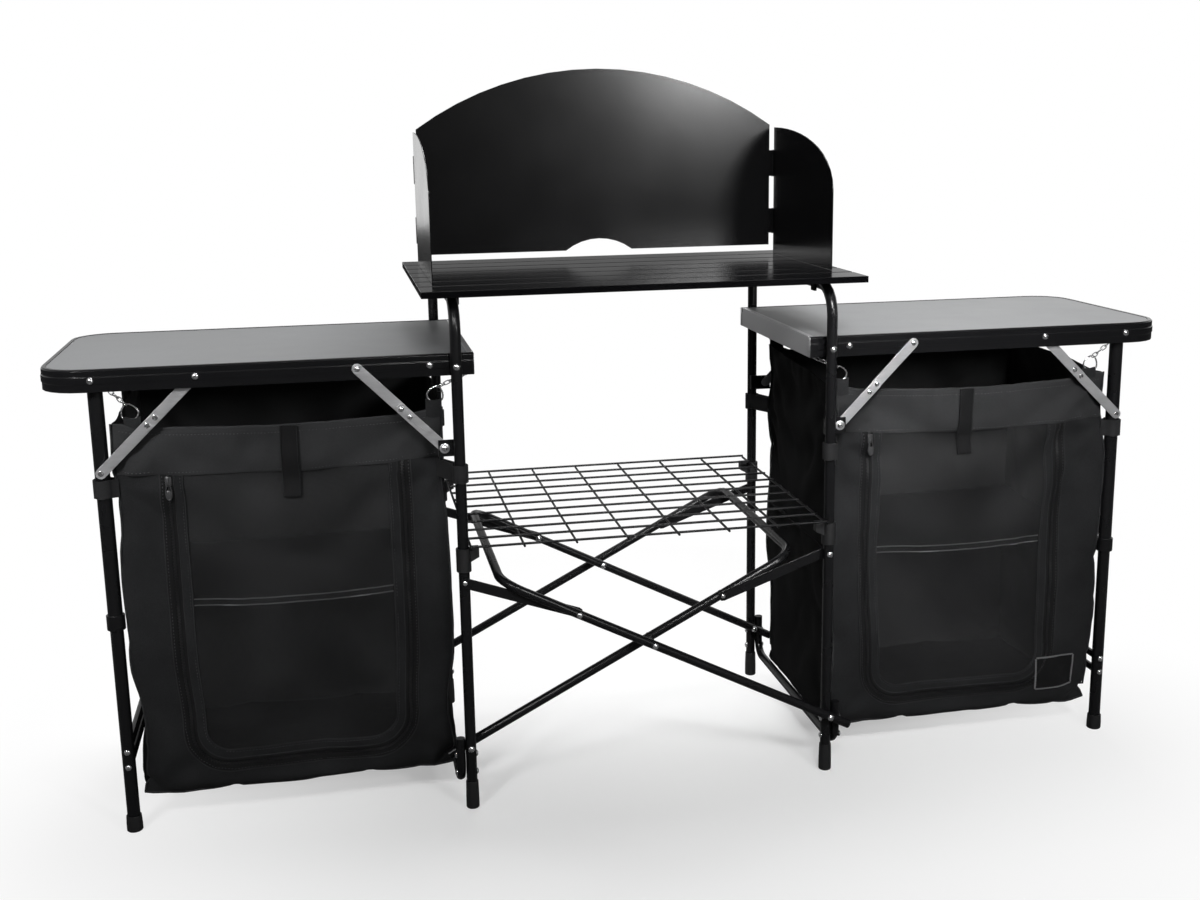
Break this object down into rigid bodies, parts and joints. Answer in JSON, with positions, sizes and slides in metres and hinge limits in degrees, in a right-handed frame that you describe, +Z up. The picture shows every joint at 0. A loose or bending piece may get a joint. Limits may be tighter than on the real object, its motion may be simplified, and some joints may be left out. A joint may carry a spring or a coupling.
{
  "type": "folding camp kitchen",
  "caption": "Folding camp kitchen: a braced stand with slatted cooking top, windscreen and wire shelf between folding side tables that carry hanging cloth cupboards.",
  "frame": {"origin": "on the floor, under the middle of the part", "axes": "+X towards the right-hand table, +Y from the front (the bags' doors) to the windscreen's back panel, +Z up"},
  "size_m": [1.956, 0.5336, 1.2644],
  "materials": {
    "black_steel": "black powder coat, semi-gloss",
    "black_rim": "glossy black paint on extruded aluminium",
    "black_sheet": "semi-gloss black paint on thin sheet",
    "bare_aluminium": "brushed, light grey",
    "grey_laminate": "smooth grey laminate with a soft sheen",
    "black_plastic": "moulded, slightly satin",
    "charcoal_cloth": "woven polyester, matt"
  },
  "bodies": {
    "left_frame": {"left_leg_frame": "black_steel", "left_base_bar": "black_steel", "left_front_foot": "black_plastic", "left_back_foot": "black_plastic", "left_front_saddle": "black_plastic", "left_back_saddle": "black_plastic"},
    "right_frame": {"right_leg_frame": "black_steel", "right_base_bar": "black_steel", "right_front_foot": "black_plastic", "right_back_foot": "black_plastic", "right_front_saddle": "black_plastic", "right_back_saddle": "black_plastic"},
    "brace_leaning_right": {"brace_leaning_right": "black_steel"},
    "brace_leaning_left": {"brace_leaning_left": "black_steel"},
    "wire_shelf": {"wire_shelf": "black_steel"},
    "slatted_top": {"slatted_top": "black_rim"},
    "windscreen": {"windscreen_panel": "black_sheet"},
    "left_links": {"left_front_link": "black_steel", "left_back_link": "black_steel"},
    "right_links": {"right_front_link": "black_steel", "right_back_link": "black_steel"},
    "left_wing": {"windscreen_left_wing": "black_sheet"},
    "right_wing": {"windscreen_right_wing": "black_sheet"},
    "left_table": {"left_table_rim": "black_rim", "left_table_panel": "grey_laminate", "left_table_rail": "bare_aluminium", "left_bag": "charcoal_cloth"},
    "left_inner_strut_uppers": {"left_front_inner_strut_upper": "bare_aluminium", "left_back_inner_strut_upper": "bare_aluminium"},
    "left_inner_strut_lowers": {"left_front_inner_strut_lower": "bare_aluminium", "left_back_inner_strut_lower": "bare_aluminium"},
    "left_outer_legs": {"left_front_outer_leg": "black_steel", "left_back_outer_leg": "black_steel"},
    "left_leg_extension": {"left_leg_extension": "black_steel", "left_front_outer_foot": "black_plastic", "left_back_outer_foot": "black_plastic"},
    "left_outer_strut_uppers": {"left_front_outer_strut_upper": "bare_aluminium", "left_back_outer_strut_upper": "bare_aluminium"},
    "left_outer_strut_lowers": {"left_front_outer_strut_lower": "bare_aluminium", "left_back_outer_strut_lower": "bare_aluminium"},
    "right_table": {"right_table_rim": "black_rim", "right_table_panel": "grey_laminate", "right_table_rail": "bare_aluminium", "right_bag": "charcoal_cloth"},
    "right_inner_strut_uppers": {"right_front_inner_strut_upper": "bare_aluminium", "right_back_inner_strut_upper": "bare_aluminium"},
    "right_inner_strut_lowers": {"right_front_inner_strut_lower": "bare_aluminium", "right_back_inner_strut_lower": "bare_aluminium"},
    "right_outer_legs": {"right_front_outer_leg": "black_steel", "right_back_outer_leg": "black_steel"},
    "right_leg_extension": {"right_leg_extension": "black_steel", "right_front_outer_foot": "black_plastic", "right_back_outer_foot": "black_plastic"},
    "right_outer_strut_uppers": {"right_front_outer_strut_upper": "bare_aluminium", "right_back_outer_strut_upper": "bare_aluminium"},
    "right_outer_strut_lowers": {"right_front_outer_strut_lower": "bare_aluminium", "right_back_outer_strut_lower": "bare_aluminium"}
  },
  "joints": [
    {"name": "brace_swing", "type": "hinge", "parent": "left_frame", "child": "brace_leaning_right", "pos_m": [-0.3228, 0, 0.111], "axis": [0, -1, 0], "range_deg": [0, 7.64]},
    {"name": "frame_fold", "type": "hinge", "parent": "brace_leaning_right", "child": "brace_leaning_left", "pos_m": [0, 0, 0.2765], "axis": [0, 1, 0], "range_deg": [0, 30]},
    {"name": "right_frame_swing", "type": "hinge", "parent": "brace_leaning_left", "child": "right_frame", "pos_m": [0.3228, 0, 0.111], "axis": [0, -1, 0], "range_deg": [0, 7.64]},
    {"name": "left_link_swing", "type": "hinge", "parent": "left_frame", "child": "left_links", "pos_m": [-0.3228, 0, 0.412], "axis": [0, -1, 0], "range_deg": [0, 24.88]},
    {"name": "right_link_swing", "type": "hinge", "parent": "right_frame", "child": "right_links", "pos_m": [0.3228, 0, 0.412], "axis": [0, 1, 0], "range_deg": [0, 24.88]},
    {"name": "wire_shelf_lift", "type": "slide", "parent": "left_frame", "child": "wire_shelf", "axis": [0, 0, 1], "range_m": [0, 0.105]},
    {"name": "slatted_top_lift", "type": "slide", "parent": "left_frame", "child": "slatted_top", "axis": [0, 0, 1], "range_m": [0, 0.105]},
    {"name": "windscreen_lift", "type": "slide", "parent": "slatted_top", "child": "windscreen", "axis": [0, 0, 1], "range_m": [0, 0.15]},
    {"name": "left_wing_fold", "type": "hinge", "parent": "windscreen", "child": "left_wing", "pos_m": [-0.3495, 0.1915, 1.03], "axis": [0, 0, 1], "range_deg": [0, 90]},
    {"name": "right_wing_fold", "type": "hinge", "parent": "windscreen", "child": "right_wing", "pos_m": [0.3495, 0.1915, 1.03], "axis": [0, 0, -1], "range_deg": [0, 90]},
    {"name": "left_table_fold", "type": "hinge", "parent": "left_frame", "child": "left_table", "pos_m": [-0.3228, 0, 0.779], "axis": [0, -1, 0], "range_deg": [0, 45], "deforming": ["left_bag"]},
    {"name": "left_inner_strut_upper_fold", "type": "hinge", "parent": "left_table", "child": "left_inner_strut_uppers", "pos_m": [-0.4818, 0, 0.779], "axis": [0, -1, 0], "range_deg": [0, 45.42]},
    {"name": "left_inner_strut_lower_fold", "type": "hinge", "parent": "left_frame", "child": "left_inner_strut_lowers", "pos_m": [-0.3458, 0, 0.64], "axis": [0, 1, 0], "range_deg": [0, 32.26]},
    {"name": "left_outer_leg_fold", "type": "hinge", "parent": "left_table", "child": "left_outer_legs", "pos_m": [-0.892, 0, 0.779], "axis": [0, -1, 0], "range_deg": [0, 89]},
    {"name": "left_leg_telescope", "type": "slide", "parent": "left_outer_legs", "child": "left_leg_extension", "axis": [0, 0, 1], "range_m": [0, 0.205]},
    {"name": "left_outer_strut_upper_fold", "type": "hinge", "parent": "left_table", "child": "left_outer_strut_uppers", "pos_m": [-0.7348, 0, 0.779], "axis": [0, 1, 0], "range_deg": [0, 44.23]},
    {"name": "left_outer_strut_lower_fold", "type": "hinge", "parent": "left_outer_legs", "child": "left_outer_strut_lowers", "pos_m": [-0.892, 0, 0.626], "axis": [0, -1, 0], "range_deg": [0, 45.78]},
    {"name": "right_table_fold", "type": "hinge", "parent": "right_frame", "child": "right_table", "pos_m": [0.3228, 0, 0.779], "axis": [0, 1, 0], "range_deg": [0, 45], "deforming": ["right_bag"]},
    {"name": "right_inner_strut_upper_fold", "type": "hinge", "parent": "right_table", "child": "right_inner_strut_uppers", "pos_m": [0.4818, 0, 0.779], "axis": [0, 1, 0], "range_deg": [0, 45.42]},
    {"name": "right_inner_strut_lower_fold", "type": "hinge", "parent": "right_frame", "child": "right_inner_strut_lowers", "pos_m": [0.3458, 0, 0.64], "axis": [0, -1, 0], "range_deg": [0, 32.26]},
    {"name": "right_outer_leg_fold", "type": "hinge", "parent": "right_table", "child": "right_outer_legs", "pos_m": [0.892, 0, 0.779], "axis": [0, 1, 0], "range_deg": [0, 89]},
    {"name": "right_leg_telescope", "type": "slide", "parent": "right_outer_legs", "child": "right_leg_extension", "axis": [0, 0, 1], "range_m": [0, 0.205]},
    {"name": "right_outer_strut_upper_fold", "type": "hinge", "parent": "right_table", "child": "right_outer_strut_uppers", "pos_m": [0.7348, 0, 0.779], "axis": [0, -1, 0], "range_deg": [0, 44.23]},
    {"name": "right_outer_strut_lower_fold", "type": "hinge", "parent": "right_outer_legs", "child": "right_outer_strut_lowers", "pos_m": [0.892, 0, 0.626], "axis": [0, 1, 0], "range_deg": [0, 45.78]}
  ],
  "couplings": [
    {"joint": "brace_swing", "follows": "frame_fold", "ratio": 0.2545},
    {"joint": "right_frame_swing", "follows": "frame_fold", "ratio": 0.2545},
    {"joint": "left_link_swing", "follows": "frame_fold", "ratio": 0.82923},
    {"joint": "right_link_swing", "follows": "frame_fold", "ratio": 0.82923},
    {"joint": "wire_shelf_lift", "follows": "frame_fold", "m_per_rad": 0.2},
    {"joint": "slatted_top_lift", "follows": "frame_fold", "m_per_rad": 0.2},
    {"joint": "left_inner_strut_upper_fold", "follows": "left_table_fold", "ratio": 1.0091},
    {"joint": "left_inner_strut_lower_fold", "follows": "left_table_fold", "ratio": 0.71667},
    {"joint": "left_leg_telescope", "follows": "left_outer_leg_fold", "m_per_rad": 0.13044},
    {"joint": "left_outer_strut_upper_fold", "follows": "left_outer_leg_fold", "ratio": 0.49138},
    {"joint": "left_outer_strut_lower_fold", "follows": "left_outer_leg_fold", "ratio": 0.50862},
    {"joint": "right_inner_strut_upper_fold", "follows": "right_table_fold", "ratio": 1.0091},
    {"joint": "right_inner_strut_lower_fold", "follows": "right_table_fold", "ratio": 0.71667},
    {"joint": "right_leg_telescope", "follows": "right_outer_leg_fold", "m_per_rad": 0.13044},
    {"joint": "right_outer_strut_upper_fold", "follows": "right_outer_leg_fold", "ratio": 0.49138},
    {"joint": "right_outer_strut_lower_fold", "follows": "right_outer_leg_fold", "ratio": 0.50862}
  ]
}
